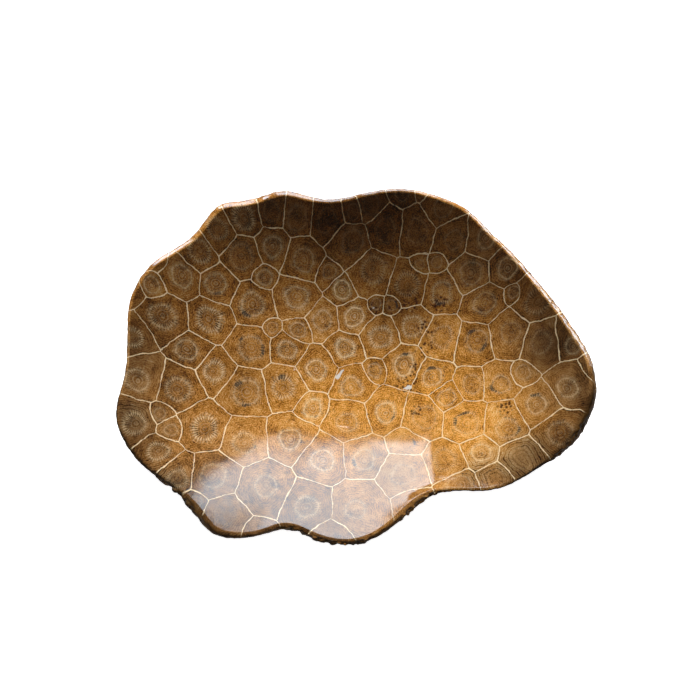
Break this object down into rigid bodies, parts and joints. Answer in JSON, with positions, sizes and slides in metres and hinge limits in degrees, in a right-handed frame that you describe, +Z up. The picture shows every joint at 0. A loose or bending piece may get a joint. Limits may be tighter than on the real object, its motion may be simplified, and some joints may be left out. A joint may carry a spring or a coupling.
{
  "type": "fossil coral bowl",
  "caption": "Free-form shallow dish carved from one block of fossil colonial coral, with a wavy rim, a rounded lip and a small flat spot underneath.",
  "frame": {"origin": "middle of the outline in plan, on the surface that the flat spot stands on", "axes": "+X towards the narrow right end along the bowl's length, +Y towards the higher back of the rim, +Z up"},
  "size_m": [0.2098, 0.1604, 0.0403],
  "materials": {
    "bowl": "polished inside and on the lip, hand-ground outside"
  },
  "bodies": {
    "root": {"bowl": "bowl"}
  },
  "joints": []
}
